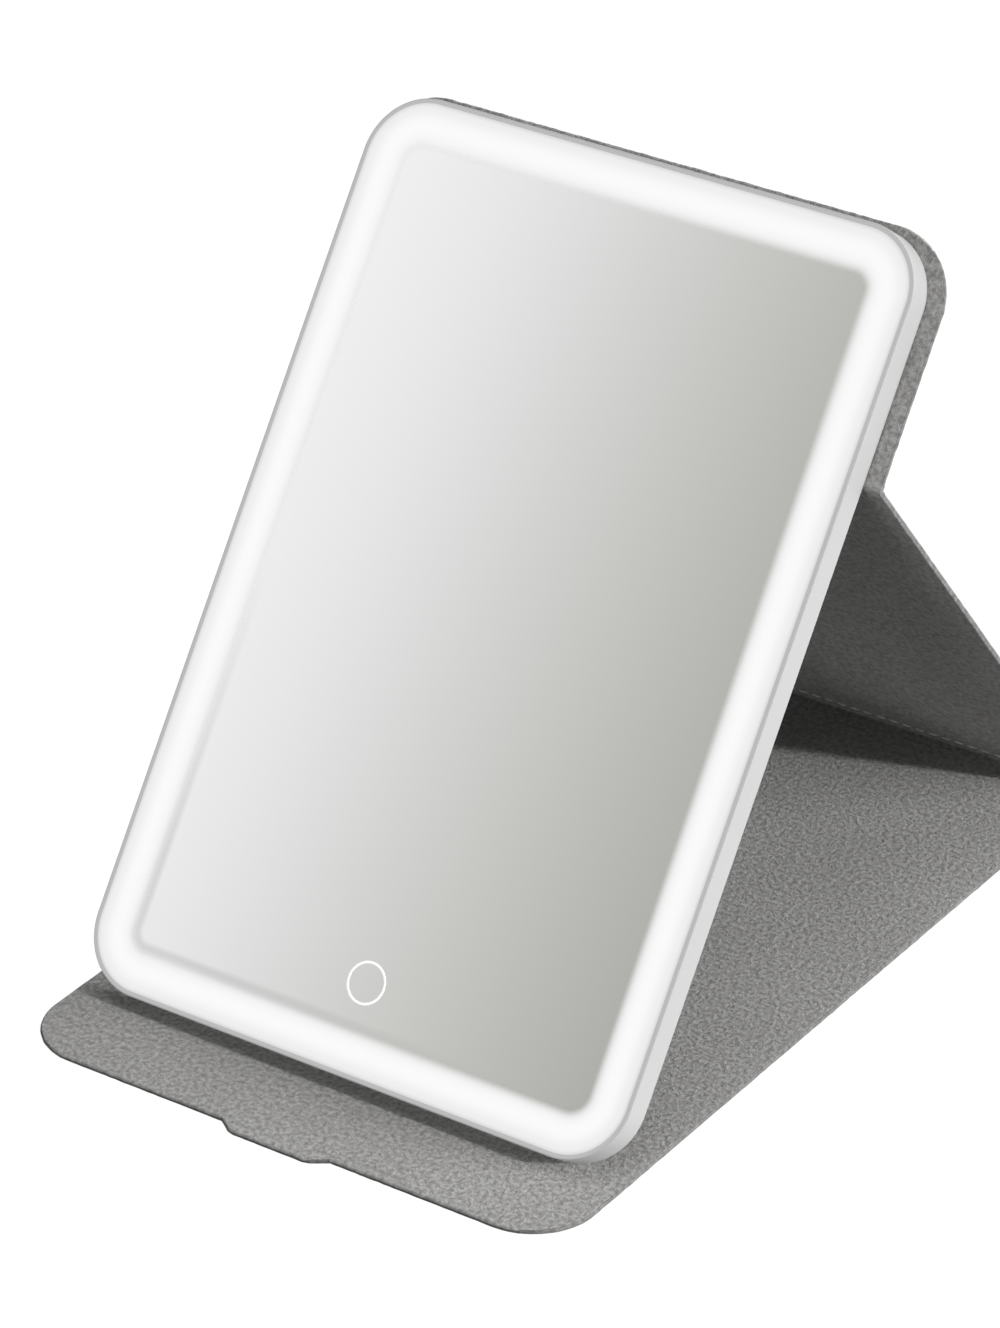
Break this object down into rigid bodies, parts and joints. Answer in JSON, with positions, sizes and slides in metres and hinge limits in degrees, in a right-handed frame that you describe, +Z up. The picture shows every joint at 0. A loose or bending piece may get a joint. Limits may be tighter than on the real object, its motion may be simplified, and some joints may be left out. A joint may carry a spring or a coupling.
{
  "type": "lighted makeup mirror",
  "caption": "Thin tablet mirror with a lit border and a touch ring, on a fabric folio that folds into a back strut and a base panel with a thumb tab.",
  "frame": {"origin": "on the table, in the middle of the rectangle that the whole object covers as it stands", "axes": "+X to the viewer's right across the mirror, +Y from the viewer to the back, +Z up"},
  "size_m": [0.153, 0.2346, 0.18],
  "materials": {
    "cover_fabric": "grey felted cloth, matt",
    "lining_fabric": "grey felted cloth, matt",
    "panel_board": "pressed grey board",
    "thread": "grey sewing thread",
    "magnet_nickel": "nickel plated",
    "keeper_steel": "plain steel sheet",
    "frame_plastic": "light grey, satin",
    "reflector_plastic": "white, matt",
    "led_board_white": "white circuit board",
    "led_phosphor": "lit phosphor",
    "lit_diffuser": "opal, lit from behind",
    "silvered_glass": "silvered glass, polished",
    "touch_mark": "white printed line",
    "foam_tape": "black foam tape",
    "circuit_board": "green circuit board",
    "board_part_black": "black moulded parts",
    "spring_steel": "plated spring wire",
    "socket_steel": "drawn steel shell",
    "light_pipe_clear": "clear moulding",
    "battery_foil": "laminated foil pouch",
    "lead_sheath": "insulated wire",
    "screw_steel": "zinc plated"
  },
  "bodies": {
    "base": {"base_skin": "cover_fabric", "base_board": "panel_board", "base_lining": "lining_fabric", "base_magnets": "magnet_nickel", "closure_magnets": "magnet_nickel"},
    "spine": {"spine_skin": "cover_fabric", "spine_board": "panel_board", "spine_lining": "lining_fabric"},
    "strut": {"strut_skin": "cover_fabric", "strut_board": "panel_board", "strut_lining": "lining_fabric", "strut_keepers": "keeper_steel", "strut_stitches": "thread"},
    "mirror": {"bezel_frame": "frame_plastic", "rear_cover": "frame_plastic", "reflector_frame": "reflector_plastic", "led_board": "led_board_white", "led_chips": "led_phosphor", "diffuser_ring": "lit_diffuser", "mirror_glass": "silvered_glass", "touch_ring": "touch_mark", "glass_tape": "foam_tape", "control_board": "circuit_board", "board_parts": "board_part_black", "touch_spring": "spring_steel", "port_board": "circuit_board", "usb_c_socket": "socket_steel", "charge_light_pipe": "light_pipe_clear", "battery_cell": "battery_foil", "battery_tape": "foam_tape", "battery_leads": "lead_sheath", "led_leads": "lead_sheath", "port_leads": "lead_sheath", "housing_screws": "screw_steel", "mirror_magnets": "magnet_nickel", "keeper_plates": "keeper_steel", "back_tape": "foam_tape", "upper_skin": "cover_fabric", "upper_board": "panel_board", "upper_lining": "lining_fabric"}
  },
  "joints": [
    {"name": "spine_fold", "type": "hinge", "parent": "base", "child": "spine", "pos_m": [0, 0.10703, 0], "axis": [1, 0, 0], "range_deg": [-90, 0]},
    {"name": "strut_fold", "type": "hinge", "parent": "spine", "child": "strut", "pos_m": [0, 0.11653, 0.0013], "axis": [1, 0, 0], "range_deg": [-130.26, 0]},
    {"name": "crease_fold", "type": "hinge", "parent": "strut", "child": "mirror", "pos_m": [0, 0.00863, 0.13073], "axis": [1, 0, 0], "range_deg": [0, 75.86]}
  ],
  "couplings": [
    {"joint": "crease_fold", "follows": "strut_fold", "ratio": -0.58237}
  ]
}
